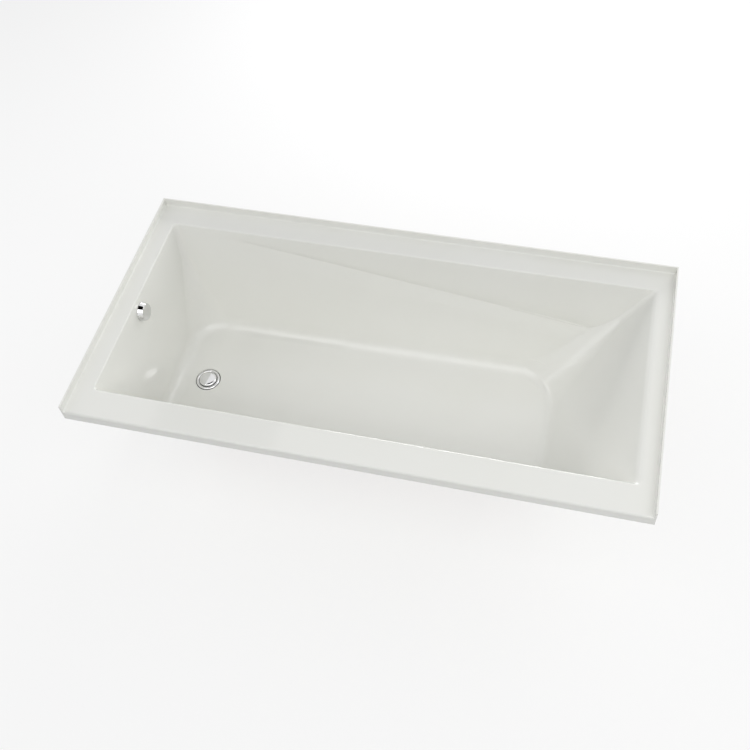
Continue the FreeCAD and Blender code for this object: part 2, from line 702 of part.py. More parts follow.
def drain_shoe():
    """Elbow under the drain: flange, threaded throat, chamber, side socket and cable guide."""
    top = gasket_top() - GASKET_THICK
    bottom = ARM_HEIGHT - PIPE_RADIUS - SHOE_FLOOR
    reach = SHOE_RADIUS + SOCKET_DEPTH
    elbow = CABLE_GUIDE_RADIUS + 1.0
    body = fused([
        rod(GASKET_RADIUS, top - 4.0, top),
        rod(SHOE_RADIUS, bottom, top),
        along_x(rod(SOCKET_RADIUS + 1.0, -reach, 0), 0, 0, ARM_HEIGHT),
        rod(CABLE_GUIDE_RADIUS, CABLE_HEIGHT, bottom),
        along_x(rod(elbow, -SHOE_RADIUS * 0.6, elbow), 0, 0, CABLE_HEIGHT),
    ])
    hollow = fused([
        rod(DRAIN_BARREL_RADIUS + SLIDE_CLEARANCE, DRAIN_FLOOR - DRAIN_BARREL_LENGTH, top + 1),
        rod(PIPE_RADIUS, ARM_HEIGHT - PIPE_RADIUS, top),
        along_x(rod(PIPE_RADIUS - PIPE_WALL, -reach, 0), 0, 0, ARM_HEIGHT),
        along_x(rod(PIPE_RADIUS, -reach - 1, SOCKET_DEPTH - reach), 0, 0, ARM_HEIGHT),
        rod(PIN_RADIUS + SLIDE_CLEARANCE, CABLE_HEIGHT - CABLE_RADIUS - 0.5, ARM_HEIGHT),
        along_x(rod(CABLE_RADIUS, -SHOE_RADIUS, 0), 0, 0, CABLE_HEIGHT),
    ])
    return moved(body.cut(hollow), DRAIN_X, CENTRE_LINE, 0)


# ---- pipes -----------------------------------------------------------------------------------------
def pipe(z0, z1):
    return sleeve(PIPE_RADIUS, PIPE_RADIUS - PIPE_WALL, z0, z1)


def arm_ends():
    """Ends of the level arm: the bottom of the tee's branch socket, and of the elbow's socket."""
    return (RISER_X + TEE_REACH - SOCKET_DEPTH, DRAIN_X - SHOE_RADIUS)


def waste_arm():
    start, end = arm_ends()
    return along_x(pipe(0, end - start), start, CENTRE_LINE, ARM_HEIGHT)


def waste_tee():
    up = ARM_HEIGHT + TEE_REACH
    down = ARM_HEIGHT - TEE_REACH
    body = fused([rod(SOCKET_RADIUS, down, up),
                  along_x(rod(SOCKET_RADIUS, 0, TEE_REACH), 0, 0, ARM_HEIGHT)])
    hollow = fused([
        rod(PIPE_RADIUS - PIPE_WALL, down - 1, up + 1),
        rod(PIPE_RADIUS, up - SOCKET_DEPTH, up + 1),
        rod(PIPE_RADIUS, down - 1, down + SOCKET_DEPTH),
        along_x(rod(PIPE_RADIUS - PIPE_WALL, 0, TEE_REACH + 1), 0, 0, ARM_HEIGHT),
        along_x(rod(PIPE_RADIUS, TEE_REACH - SOCKET_DEPTH, TEE_REACH + 1), 0, 0, ARM_HEIGHT),
    ])
    return moved(body.cut(hollow), RISER_X, CENTRE_LINE, 0)


def tail_pipe():
    """Short outlet tube, pushed into the tee up to its stop ring."""
    end = ARM_HEIGHT - TEE_REACH
    body = fused([rod(PIPE_RADIUS, TAIL_CLEARANCE, end + SOCKET_DEPTH),
                  rod(SOCKET_RADIUS, end - TAIL_COLLAR, end)])
    return moved(body.cut(rod(PIPE_RADIUS - PIPE_WALL, 0, ARM_HEIGHT)), RISER_X, CENTRE_LINE, 0)


def overflow_axis_height():
    """Height at which the overflow's axis crosses the riser's centre line."""
    across = wall_places(OVERFLOW_DEPTH, 0)[0] - RISER_X
    return DECK_HEIGHT - OVERFLOW_DEPTH - across * tangent(END_WALL_SLOPE)


def riser_top():
    return overflow_axis_height() - OVERFLOW_BODY_RADIUS


def overflow_pipe():
    return moved(pipe(ARM_HEIGHT + TEE_REACH - SOCKET_DEPTH, riser_top()), RISER_X, CENTRE_LINE, 0)


def slip_nut():
    """Ribbed ring nut over a socket's end, built upwards from zero, open below."""
    ring = rod(SLIP_NUT_RADIUS - 1.5, 0, SLIP_NUT_HEIGHT)
    ribs = []
    for k in range(SLIP_NUT_RIBS):
        rib = block(SLIP_NUT_RADIUS - 3.0, SLIP_NUT_RADIUS, -3.0, 3.0, 1.0, SLIP_NUT_HEIGHT - 1.0)
        rib.rotate(point(0, 0, 0), UP, 360 * k / SLIP_NUT_RIBS)
        ribs.append(rib)
    body = fused([ring] + ribs)
    body = body.cut(rod(SOCKET_RADIUS + SLIDE_CLEARANCE, -1, SLIP_NUT_HEIGHT - SLIP_NUT_LIP))
    return body.cut(rod(PIPE_RADIUS + SLIDE_CLEARANCE, -1, SLIP_NUT_HEIGHT + 1))


def slip_washer():
    return sleeve(SOCKET_RADIUS, PIPE_RADIUS + SLIDE_CLEARANCE, 0, SLIP_WASHER_THICK)


def nut_seat():
    """Distance from a socket's end back to the open end of its nut."""
    return SLIP_NUT_HEIGHT - SLIP_NUT_LIP - SLIP_WASHER_THICK


def tee_top_nut():
    return moved(slip_nut(), RISER_X, CENTRE_LINE, ARM_HEIGHT + TEE_REACH - nut_seat())


def tee_side_nut():
    return along_x(slip_nut(), RISER_X + TEE_REACH - nut_seat(), CENTRE_LINE, ARM_HEIGHT)


def overflow_slip_nut():
    nut = slip_nut()
    nut.rotate(point(0, 0, 0), ALONG, 180)
    return moved(nut, RISER_X, CENTRE_LINE, riser_top() - SOCKET_DEPTH + nut_seat())


def slip_washers():
    end = TEE_REACH
    return [moved(slip_washer(), RISER_X, CENTRE_LINE, ARM_HEIGHT + end),
            along_x(slip_washer(), RISER_X + end, CENTRE_LINE, ARM_HEIGHT),
            moved(slip_washer(), RISER_X, CENTRE_LINE,
                  riser_top() - SOCKET_DEPTH - SLIP_WASHER_THICK)]


# ---- overflow --------------------------------------------------------------------------------------
def body_front():
    """Where the overflow body's flange starts behind the wall, along the overflow's axis."""
    return -WALL - GASKET_THICK


def neck_length():
    """From the wall's inner face back to the riser's centre, along the overflow's axis."""
    return (wall_places(OVERFLOW_DEPTH, 0)[0] - RISER_X) / cosine(END_WALL_SLOPE)


def cable_top():
    return riser_top() - 4.0


def at_overflow_screws(radius, z0, z1):
    return [on_overflow(rod(radius, z0, z1, 0, side * OVERFLOW_SCREW_CIRCLE)) for side in (-1, 1)]


def overflow_body():
    """Elbow behind the wall: flange, neck, closed head over the riser, and a socket for the cable."""
    flange = on_overflow(rod(OVERFLOW_BODY_RADIUS, body_front() - OVERFLOW_FLANGE_THICK,
                             body_front()))
    neck = on_overflow(rod(SOCKET_RADIUS, -neck_length(), body_front()))
    head_top = overflow_axis_height() + SOCKET_RADIUS * 0.9
    head = rod(SOCKET_RADIUS, riser_top() - SOCKET_DEPTH, head_top, RISER_X, CENTRE_LINE)
    guide = rod(CABLE_GUIDE_RADIUS, cable_top() - 12.0, cable_top() + 12.0, RISER_X,
                CENTRE_LINE + CABLE_SIDE)
    web = block(RISER_X - CABLE_RADIUS, RISER_X + CABLE_RADIUS, CENTRE_LINE + PIPE_RADIUS + 1,
                CENTRE_LINE + CABLE_SIDE, cable_top(), cable_top() + 12.0)
    body = fused([flange, neck, head, guide, web])
    hollow = fused([
        on_overflow(rod(SOCKET_RADIUS - 3.0, -neck_length(), 0)),
        rod(PIPE_RADIUS - PIPE_WALL, riser_top() - SOCKET_DEPTH - 1, head_top - 3.0,
            RISER_X, CENTRE_LINE),
        rod(PIPE_RADIUS, riser_top() - SOCKET_DEPTH - 1, riser_top(), RISER_X, CENTRE_LINE),
        rod(CABLE_RADIUS, cable_top() - 13.0, cable_top(), RISER_X, CENTRE_LINE + CABLE_SIDE),
    ])
    body = body.cut(hollow)
    back = -neck_length() + SPINDLE_CRANK + 4.0
    bridge = on_overflow(block(-4.0, 4.0, -SOCKET_RADIUS + 1, SOCKET_RADIUS - 1, back, back + 5.0))
    bearing = on_overflow(rod(SPINDLE_HUB, back, back + 10.0))
    bore = on_overflow(rod(SPINDLE_RADIUS + SLIDE_CLEARANCE, -neck_length() - 1, 0))
    bosses = at_overflow_screws(2 * OVERFLOW_SCREW_RADIUS + 0.5,
                                body_front() - OVERFLOW_SCREW_HOLD - 2.0, body_front())
    body = fused([body, bridge, bearing] + bosses).cut(bore)
    return body.cut(Part.makeCompound(at_overflow_screws(
        OVERFLOW_SCREW_RADIUS, body_front() - OVERFLOW_SCREW_HOLD, KNOB_DEPTH)))


def overflow_gasket():
    return on_overflow(sleeve(OVERFLOW_BODY_RADIUS, OVERFLOW_HOLE_RADIUS,
                              body_front(), -WALL))


def overflow_plate():
    """Plate inside the basin, clamped through the wall, with water slots round the spindle."""
    plate = rod(OVERFLOW_PLATE_RADIUS, 0, OVERFLOW_PLATE_THICK)
    collar = rod(OVERFLOW_HOLE_RADIUS - 0.5, -WALL, 0)
    body = plate.fuse(collar)
    body = body.cut(rod(OVERFLOW_HOLE_RADIUS - 3.0, -WALL - 1, -0.1))
    for k in range(4):
        slot = rod(5.0, -WALL, 2 * WALL, 12.0, 0)
        slot.rotate(point(0, 0, 0), UP, 45 + 90 * k)
        body = body.cut(slot)
    body = body.cut(rod(SPINDLE_RADIUS + SLIDE_CLEARANCE, -2 * WALL, 2 * WALL))
    return on_overflow(body).cut(Part.makeCompound(at_overflow_screws(
        OVERFLOW_SCREW_RADIUS, -2 * WALL, 2 * WALL)))


def overflow_screws():
    shanks = at_overflow_screws(OVERFLOW_SCREW_RADIUS, body_front() - OVERFLOW_SCREW_HOLD,
                                OVERFLOW_PLATE_THICK)
    heads = at_overflow_screws(2 * OVERFLOW_SCREW_RADIUS, OVERFLOW_PLATE_THICK,
                               OVERFLOW_PLATE_THICK + 1.6)
    return [shank.fuse(head) for shank, head in zip(shanks, heads)]


def overflow_knob():
    """Tapered drum with a rounded front edge, hollow behind, with a boss on the spindle."""
    base = KNOB_GAP
    face = KNOB_DEPTH
    drum = Part.makeCone(KNOB_BASE_RADIUS, KNOB_FACE_RADIUS, face - base, point(0, 0, base), UP)
    drum = drum.makeFillet(KNOB_EDGE, [edge for edge in drum.Edges
                                       if abs(edge.CenterOfMass.z - face) < 0.01
                                       and len(edge.Vertexes) == 1])
    hollow = Part.makeCone(KNOB_BASE_RADIUS - KNOB_WALL, KNOB_FACE_RADIUS - KNOB_WALL,
                           face - base - KNOB_WALL, point(0, 0, base), UP)
    boss = rod(SPINDLE_HUB, face - 8.0, face - KNOB_WALL)
    body = drum.cut(hollow).fuse(boss).removeSplitter()
    return on_overflow(body.cut(rod(SPINDLE_RADIUS, 0, face - KNOB_WALL)))


def knob_spindle():
    """Shaft from the knob to the crank that works the cable."""
    back = -neck_length() + 2.0
    shaft = rod(SPINDLE_RADIUS, back, KNOB_DEPTH - KNOB_WALL)
    crank = block(-3.0, SPINDLE_CRANK, -3.0, 3.0, back, back + SPINDLE_CRANK * 0.3)
    return on_overflow(fused([shaft, crank]))


# ---- cable -----------------------------------------------------------------------------------------
def cable_route():
    """Corners of the cable's route, from the overflow down beside the riser to the elbow."""
    side = CENTRE_LINE + CABLE_SIDE
    return [point(RISER_X, side, cable_top()),
            point(RISER_X, side, CABLE_HEIGHT),
            point(RISER_X + CABLE_LEVEL_RUN, side, CABLE_HEIGHT),
            point(DRAIN_X - CABLE_LEAD_IN, CENTRE_LINE, CABLE_HEIGHT),
            point(DRAIN_X - PIN_RADIUS - 1.0, CENTRE_LINE, CABLE_HEIGHT)]


def control_cable():
    """Tube of straight runs and tangent arcs, each arc as large as its two runs allow."""
    corners = cable_route()
    edges = []
    last = corners[0]
    for k in range(1, len(corners) - 1):
        before = corners[k] - corners[k - 1]
        after = corners[k + 1] - corners[k]
        turn = before.getAngle(after)
        setback = 0.45 * min(before.Length, after.Length)
        radius = setback / math.tan(turn / 2)
        before.normalize()
        after.normalize()
        start = corners[k] - before * setback
        end = corners[k] + after * setback
        inward = after - before
        inward.normalize()
        middle = corners[k] + inward * (radius / math.cos(turn / 2) - radius)
        edges.append(Part.makeLine(last, start))
        edges.append(Part.Arc(start, middle, end).toShape())
        print("cable arc radius", round(radius, 1))
        last = end
    edges.append(Part.makeLine(last, corners[-1]))
    path = Part.Wire(edges)
    section = Part.Wire([Part.makeCircle(CABLE_RADIUS, corners[0], UP)])
    tube = path.makePipeShell([section], True, False)
    wanted = math.pi * CABLE_RADIUS ** 2 * path.Length
    print("cable volume", round(tube.Volume), "wanted", round(wanted))
    return tube


# ---- all nodes -------------------------------------------------------------------------------------
def build():
    screws = all_rail_screws()
    nodes = {
        "tub_shell": tub_shell(),
        "fibreglass_backing": fibreglass_backing(),
        "base_board": base_board(screws),
        "front_rim_board": rim_board(-1),
        "back_rim_board": rim_board(1),
        "rail_screws": Part.makeCompound(screws),
        "tee_nuts": Part.makeCompound([tee_nut(x, y) for x, y in foot_places()]),
        "lock_nuts": Part.makeCompound([lock_nut(x, y) for x, y in foot_places()]),
        "flange_seal": flange_seal(),
        "drain_flange": drain_flange(),
        "drain_gasket": drain_gasket(),
        "drain_shoe": drain_shoe(),
        "stopper_cap": stopper_cap(),
        "stopper_seal": stopper_seal(),
        "stopper_stem": stopper_stem(),
        "lift_pin": lift_pin(),
        "waste_arm": waste_arm(),
        "waste_tee": waste_tee(),
        "tail_pipe": tail_pipe(),
        "tee_top_nut": tee_top_nut(),
        "tee_side_nut": tee_side_nut(),
        "overflow_slip_nut": overflow_slip_nut(),
        "slip_washers": Part.makeCompound(slip_washers()),
        "overflow_pipe": overflow_pipe(),
        "overflow_body": overflow_body(),
        "overflow_gasket": overflow_gasket(),
        "overflow_plate": overflow_plate(),
        "overflow_screws": Part.makeCompound(overflow_screws()),
        "overflow_knob": overflow_knob(),
        "knob_spindle": knob_spindle(),
        "control_cable": control_cable(),
    }
    for name, place in RAIL_PLACES.items():
        nodes["cross_rail_" + name] = cross_rail(place, screws)
    for number, (x, y) in enumerate(foot_places(), 1):
        nodes["foot_stud_%d" % number] = foot_stud(x, y)
        nodes["foot_pad_%d" % number] = foot_pad(x, y)
    return nodes


os.makedirs("parts", exist_ok=True)
for node, shape in build().items():
    print(node, "solids", len(shape.Solids), "valid", shape.isValid(), "volume", round(shape.Volume))
    shape.exportStep("parts/" + node + ".step")
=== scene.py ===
"""Alcove bathtub with tile flange, frame, feet and pop-up waste, put together piece by piece."""
import bpy
import math
from mathutils import Matrix, Vector


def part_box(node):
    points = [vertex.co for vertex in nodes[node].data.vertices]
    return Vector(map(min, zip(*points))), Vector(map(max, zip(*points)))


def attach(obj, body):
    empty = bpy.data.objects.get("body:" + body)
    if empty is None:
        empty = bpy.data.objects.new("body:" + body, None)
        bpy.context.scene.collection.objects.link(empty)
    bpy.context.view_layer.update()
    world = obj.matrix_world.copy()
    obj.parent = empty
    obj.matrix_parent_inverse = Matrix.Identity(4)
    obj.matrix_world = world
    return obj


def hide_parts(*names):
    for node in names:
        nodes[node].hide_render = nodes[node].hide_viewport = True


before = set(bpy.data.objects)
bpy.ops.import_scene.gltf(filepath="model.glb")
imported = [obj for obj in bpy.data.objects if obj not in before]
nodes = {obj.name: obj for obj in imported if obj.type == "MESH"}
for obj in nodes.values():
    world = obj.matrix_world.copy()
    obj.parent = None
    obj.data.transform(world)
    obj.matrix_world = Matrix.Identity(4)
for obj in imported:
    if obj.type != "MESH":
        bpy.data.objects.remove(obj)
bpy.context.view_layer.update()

# ---- Viewpoint -----------------------------------------------------------------------------------
# The tub is seen from above and from the front, turned a little to the left and slightly tilted.
# Direction, tilt and lens come from the straight edges of the deck and the basin.
azimuth = math.radians(-17.66)
elevation = math.radians(53.25)
tilt = math.radians(5.53)
camera_place = (0.5176, -1.510, 2.6306)
ahead = Vector((math.sin(azimuth) * math.cos(elevation), math.cos(azimuth) * math.cos(elevation),
                -math.sin(elevation)))
level_right = ahead.cross(Vector((0, 0, 1))).normalized()
level_down = ahead.cross(level_right)
right = level_right * math.cos(tilt) + level_down * math.sin(tilt)
down = level_down * math.cos(tilt) - level_right * math.sin(tilt)
camera_data = bpy.data.cameras.new("camera")
camera_data.sensor_width = 36.0
camera_data.lens = 47.81
camera_data.shift_x = -0.0217
camera_data.shift_y = -0.0508
camera = bpy.data.objects.new("camera", camera_data)
bpy.context.scene.collection.objects.link(camera)
camera.matrix_world = Matrix.Translation(camera_place) @ Matrix(
    (right, -down, -ahead)).transposed().to_4x4()
bpy.context.scene.camera = camera

# ---- Acrylic shell -------------------------------------------------------------------------------
# One 4 mm sheet of cast acrylic, heated and drawn by vacuum over a mould, then trimmed at the
# flange and the lip. It is glossy, its edges are soft, and the drawing leaves a faint waviness.


def linear(hex_colour):
    """Linear colour of an sRGB hex value."""
    channels = [int(hex_colour[k:k + 2], 16) / 255 for k in (1, 3, 5)]
    return tuple(c / 12.92 if c <= 0.04045 else ((c + 0.055) / 1.055) ** 2.4
                 for c in channels) + (1.0,)


def add_node(owner, kind, values=None, links=None, **settings):
    """Add a node to a material or world, set its sockets and properties, and link its inputs."""
    node = owner.node_tree.nodes.new(kind)
    for name, value in settings.items():
        setattr(node, name, value)
    for name, value in (values or {}).items():
        node.inputs[name].default_value = value
    for name, source in (links or {}).items():
        owner.node_tree.links.new(source, node.inputs[name])
    return node


def larger(owner, first, second):
    """The larger of two values."""
    node = add_node(owner, "ShaderNodeMath", None, {0: first, 1: second}, operation="MAXIMUM")
    return node.outputs["Value"]


def new_material(name, **surface):
    """Material with its Principled shader, whose sockets take the given values."""
    material = bpy.data.materials.new(name)
    material.use_nodes = True
    shader = material.node_tree.nodes["Principled BSDF"]
    for socket, value in surface.items():
        shader.inputs[socket.replace("_", " ")].default_value = value
    return material, shader


def two_tone(material, shader, factor, first, second, stops=(0.0, 1.0)):
    """Colour a material from one sRGB colour to another by a factor."""
    ramp = add_node(material, "ShaderNodeValToRGB", None, {"Fac": factor})
    for element, stop, colour in zip(ramp.color_ramp.elements, stops, (first, second)):
        element.position = stop
        element.color = linear(colour)
    material.node_tree.links.new(ramp.outputs["Color"], shader.inputs["Base Color"])


def mottle(material, shader, scale, detail, first, second):
    """Colour a material between two close tones by noise that stays with the piece."""
    place = add_node(material, "ShaderNodeTexCoord")
    noise = add_node(material, "ShaderNodeTexNoise", {"Scale": scale, "Detail": detail},
                     {"Vector": place.outputs["Object"]})
    two_tone(material, shader, noise.outputs["Fac"], first, second)
    return noise


def roughen(material, shader, height, strength, distance):
    """Give a material a relief of the stated distance in metres."""
    bump = add_node(material, "ShaderNodeBump", {"Strength": strength, "Distance": distance},
                    {"Height": height})
    material.node_tree.links.new(bump.outputs["Normal"], shader.inputs["Normal"])


def vary_gloss(material, shader, factor, least, most):
    """Let a material's roughness vary between two values."""
    span = add_node(material, "ShaderNodeMapRange", {"To Min": least, "To Max": most},
                    {"Value": factor})
    material.node_tree.links.new(span.outputs["Result"], shader.inputs["Roughness"])


def make_active(piece):
    """Select a piece alone and make it the active one."""
    bpy.ops.object.select_all(action="DESELECT")
    bpy.context.view_layer.objects.active = piece
    piece.select_set(True)


def shade_smooth(piece, sharp):
    """Shade a piece smooth, apart from edges that bend by more than an angle in degrees."""
    make_active(piece)
    bpy.ops.object.shade_smooth_by_angle(angle=math.radians(sharp))


def keep_flat(piece):
    """Keep an active piece's large faces flat beside its rounds."""
    weigh = piece.modifiers.new("flat faces stay flat", "WEIGHTED_NORMAL")
    weigh.keep_sharp = True
    bpy.ops.object.modifier_apply(modifier=weigh.name)


def smooth_copy(node, name, sharp=32.0, edge=0.0):
    """A CAD node's mesh merged and smooth, with broken edges where edge is given."""
    piece = bpy.data.objects.new(name, nodes[node].data.copy())
    piece.data.name = name
    bpy.context.scene.collection.objects.link(piece)
    make_active(piece)
    if piece.data.has_custom_normals:
        bpy.ops.mesh.customdata_custom_splitnormals_clear()
    bpy.ops.object.mode_set(mode="EDIT")
    bpy.ops.mesh.select_all(action="SELECT")
    bpy.ops.mesh.remove_doubles(threshold=0.00001)
    if edge > 0:
        bpy.ops.mesh.dissolve_limited(angle_limit=math.radians(1.0))
    bpy.ops.object.mode_set(mode="OBJECT")
    if edge > 0:
        bevel = piece.modifiers.new("broken edges", "BEVEL")
        bevel.width = edge
        bevel.segments = 2
        bevel.limit_method = "ANGLE"
        bevel.angle_limit = math.radians(40)
        bevel.use_clamp_overlap = True
        bpy.ops.object.modifier_apply(modifier=bevel.name)
    shade_smooth(piece, sharp)
    keep_flat(piece)
    return piece


def dress(piece, material, body="tub", node=None):
    """Give a piece its only material, let it ride on its body, and let it stand for a CAD node."""
    piece.data.materials.clear()
    piece.data.materials.append(material)
    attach(piece, body)
    if node:
        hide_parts(node)


acrylic, shader = new_material("cast_acrylic_gloss_white", Roughness=0.09, IOR=1.49)
mottle(acrylic, shader, 3.0, 2.0, "#EAEAE4", "#EEEEEA")
place = add_node(acrylic, "ShaderNodeTexCoord")
# the waves left by drawing the sheet are 40 mm long and some hundredths of a millimetre high
waves = add_node(acrylic, "ShaderNodeTexNoise", {"Scale": 1 / 0.040, "Detail": 1.0},
                 {"Vector": place.outputs["Object"]})
roughen(acrylic, shader, waves.outputs["Fac"], strength=0.05, distance=0.001)

sheet_sharp = 28.0  # the sheet's and its backing's edges that bend by more degrees stay sharp
shell = smooth_copy("tub_shell", "acrylic_shell", sharp=sheet_sharp)


def eased(share):
    """A share from 0 to 1 with a soft start and end."""
    share = min(max(share, 0.0), 1.0)
    return share * share * (3 - 2 * share)


def crisp_crease(piece):
    """Press the armrests' falling crease a little outward, as the drawn sheet shows it."""
    # sizes of the sheet: deck, ends, flat strips of the deck, and slopes of crease and walls
    deck_height, half_width = 0.4826, 0.381
    drain_end, backrest_end = -0.7604, 0.7604
    back_deck, front_deck, end_deck = 0.073, 0.084, 0.0508
    crease_fall, wall_draft, backrest_lean = (math.tan(math.radians(degrees))
                                              for degrees in (7.6, 14.6, 34.7))
    # the crease falls from its apex; the press starts later, grows, and fades before the corner
    apex, start, strong = drain_end + 0.011, drain_end + 0.195, drain_end + 0.520
    least_press, more_press = 0.003, 0.004
    end_gap, end_fade = 0.02, 0.08
    # heights above the crease: it fades quickly below and over a share of the depth above
    below, most_above, share_above, least_depth = 0.045, 0.070, 0.45, 0.001
    wall_band = 0.045
    steps = (-0.045, -0.036, -0.027, -0.018, -0.010, -0.004, 0.0, 0.004, 0.010, 0.018, 0.028,
             0.040, 0.055, 0.070)
    cuts, cut_spacing = 12, 0.08

    make_active(piece)
    bpy.ops.mesh.customdata_custom_splitnormals_clear()
    bpy.ops.object.mode_set(mode="EDIT")
    for step in steps:
        bpy.ops.mesh.select_all(action="SELECT")
        bpy.ops.mesh.bisect(plane_co=(apex, 0, deck_height + step), plane_no=(crease_fall, 0, 1))
    for cut in range(cuts):
        bpy.ops.mesh.select_all(action="SELECT")
        bpy.ops.mesh.bisect(plane_co=(start + cut * cut_spacing, 0, 0), plane_no=(1, 0, 0))
    bpy.ops.object.mode_set(mode="OBJECT")

    for vertex in piece.data.vertices:
        x, y, z = vertex.co
        depth = deck_height - z
        crease_depth = (x - apex) * crease_fall
        above = crease_depth - depth
        reach = min(most_above, share_above * max(crease_depth, least_depth))
        wall = half_width - (back_deck if y > 0 else front_deck) - depth * wall_draft
        near_crease = start < x < backrest_end and -below < above < reach
        if not (near_crease and abs(abs(y) - wall) < wall_band):
            continue
        corner = backrest_end - end_deck - depth * backrest_lean
        press = least_press + more_press * (x - start) / (backrest_end - start)
        along = eased((x - start) / (strong - start)) * eased((corner - end_gap - x) / end_fade)
        across = (1 - above / reach) ** 2 if above > 0 else eased(1 + above / below)
        vertex.co.y += math.copysign(press * along * across, y)
    shade_smooth(piece, sheet_sharp)
    keep_flat(piece)


crisp_crease(shell)
dress(shell, acrylic, node="tub_shell")

# ---- Fibreglass backing --------------------------------------------------------------------------
# Chopped glass strands and polyester resin, sprayed on the back of the sheet and rolled down by
# hand. It is uneven, dull and yellowish green, with the strands showing.
laminate, shader = new_material("sprayed_glass_fibre_laminate", Roughness=0.55, IOR=1.55)
place = add_node(laminate, "ShaderNodeTexCoord")
strand_layers = []
for turn in (0.3, 1.7, 2.6):
    # strands are 50 mm long and drawn 2 mm thick, coarser than real so that they show
    lie = add_node(laminate, "ShaderNodeMapping", {"Rotation": (turn, turn * 0.7, turn),
                                                   "Scale": (1 / 0.050, 1 / 0.002, 1 / 0.002)},
                   {"Vector": place.outputs["Object"]})
    layer = add_node(laminate, "ShaderNodeTexNoise", {"Scale": 1.0, "Detail": 1.0},
                     {"Vector": lie.outputs["Vector"]})
    strand_layers.append(layer.outputs["Fac"])
strands = larger(laminate, larger(laminate, strand_layers[0], strand_layers[1]), strand_layers[2])
two_tone(laminate, shader, strands, "#BFBE9F", "#DEDDCB", (0.45, 0.72))
roughen(laminate, shader, strands, strength=0.6, distance=0.0012)
backing = smooth_copy("fibreglass_backing", "laminate_backing", sharp=sheet_sharp)
crisp_crease(backing)
dress(backing, laminate, node="fibreglass_backing")

# ---- Particle boards -----------------------------------------------------------------------------
# A board under the floor and two strips under the deck, pressed from wood chips and glue, cut
# with a saw and bedded in the laminate.
chipboard, shader = new_material("pressed_chipboard", Roughness=0.75)
place = add_node(chipboard, "ShaderNodeTexCoord")
# chips are 6 mm long and 2 mm thick
lie = add_node(chipboard, "ShaderNodeMapping", {"Scale": (1 / 0.006, 1 / 0.004, 1 / 0.002)},
               {"Vector": place.outputs["Object"]})
chips = add_node(chipboard, "ShaderNodeTexVoronoi", {"Scale": 1.0, "Randomness": 1.0},
                 {"Vector": lie.outputs["Vector"]})
two_tone(chipboard, shader, chips.outputs["Color"], "#8C6C45", "#D2B487")
roughen(chipboard, shader, chips.outputs["Distance"], strength=0.4, distance=0.0005)
for node, name in (("base_board", "floor_board"), ("front_rim_board", "front_strip"),
                   ("back_rim_board", "back_strip")):
    board = smooth_copy(node, name, edge=0.0008)
    dress(board, chipboard, node=node)

# ---- Cross rails ---------------------------------------------------------------------------------
# Three planed spruce rails across the tub under the floor board, screwed to it from below. Their
# grain runs along them, with growth bands a few millimetres wide.
spruce, shader = new_material("planed_spruce", Roughness=0.62)
place = add_node(spruce, "ShaderNodeTexCoord")
lie = add_node(spruce, "ShaderNodeMapping", {"Rotation": (0.0, 0.35, 0.03)},
               {"Vector": place.outputs["Object"]})
# growth bands 5 mm apart, bent by slow noise along the rail
bands = add_node(spruce, "ShaderNodeTexWave", {"Scale": 1 / 0.005 / 6.28, "Distortion": 2.2,
                                               "Detail": 2.0, "Detail Scale": 0.4},
                 {"Vector": lie.outputs["Vector"]}, wave_type="RINGS", rings_direction="Y")
fibre_lie = add_node(spruce, "ShaderNodeMapping", {"Scale": (1 / 0.001, 1 / 0.040, 1 / 0.001)},
                     {"Vector": place.outputs["Object"]})
fibre = add_node(spruce, "ShaderNodeTexNoise", {"Scale": 1.0, "Detail": 2.0},
                 {"Vector": fibre_lie.outputs["Vector"]})
grain = add_node(spruce, "ShaderNodeMath", {1: 0.35}, {0: fibre.outputs["Fac"]},
                 operation="MULTIPLY")
mixed = add_node(spruce, "ShaderNodeMath", None, {0: bands.outputs["Fac"],
                                                  1: grain.outputs["Value"]}, operation="ADD")
two_tone(spruce, shader, mixed.outputs["Value"], "#E3C596", "#B98A55")
roughen(spruce, shader, fibre.outputs["Fac"], strength=0.25, distance=0.0004)
for end in ("drain_end", "middle", "backrest_end"):
    rail = smooth_copy("cross_rail_" + end, "rail_" + end, edge=0.0015)
    dress(rail, spruce, node="cross_rail_" + end)

# ---- Zinc plated hardware ------------------------------------------------------------------------
# Countersunk screws, tee nuts pressed into the rails, and lock nuts: steel with a thin zinc
# plating, bluish grey, with faint cloudy crystals.
zinc, shader = new_material("zinc_plated_steel", Metallic=1.0)
clouds = mottle(zinc, shader, 1 / 0.004, 3.0, "#B4B8BC", "#D3D5D6")
vary_gloss(zinc, shader, clouds.outputs["Fac"], 0.26, 0.42)
for node, name, edge in (("rail_screws", "countersunk_screws", 0.0),
                         ("tee_nuts", "pressed_tee_nuts", 0.0003),
                         ("lock_nuts", "jam_nuts", 0.0003)):
    hardware = smooth_copy(node, name, edge=edge)
    dress(hardware, zinc, node=node)

# ---- Levelling feet ------------------------------------------------------------------------------
# M10 studs with a rolled thread of 1.5 mm pitch, each pushed into a moulded, stepped nylon pad.
# The studs turn in the tee nuts to level the tub. Each foot's two pieces ride on its own body.
nylon, shader = new_material("moulded_grey_nylon", Roughness=0.48, IOR=1.53)
grit = mottle(nylon, shader, 1 / 0.0012, 2.0, "#494A4C", "#58595B")
roughen(nylon, shader, grit.outputs["Fac"], strength=0.3, distance=0.0002)


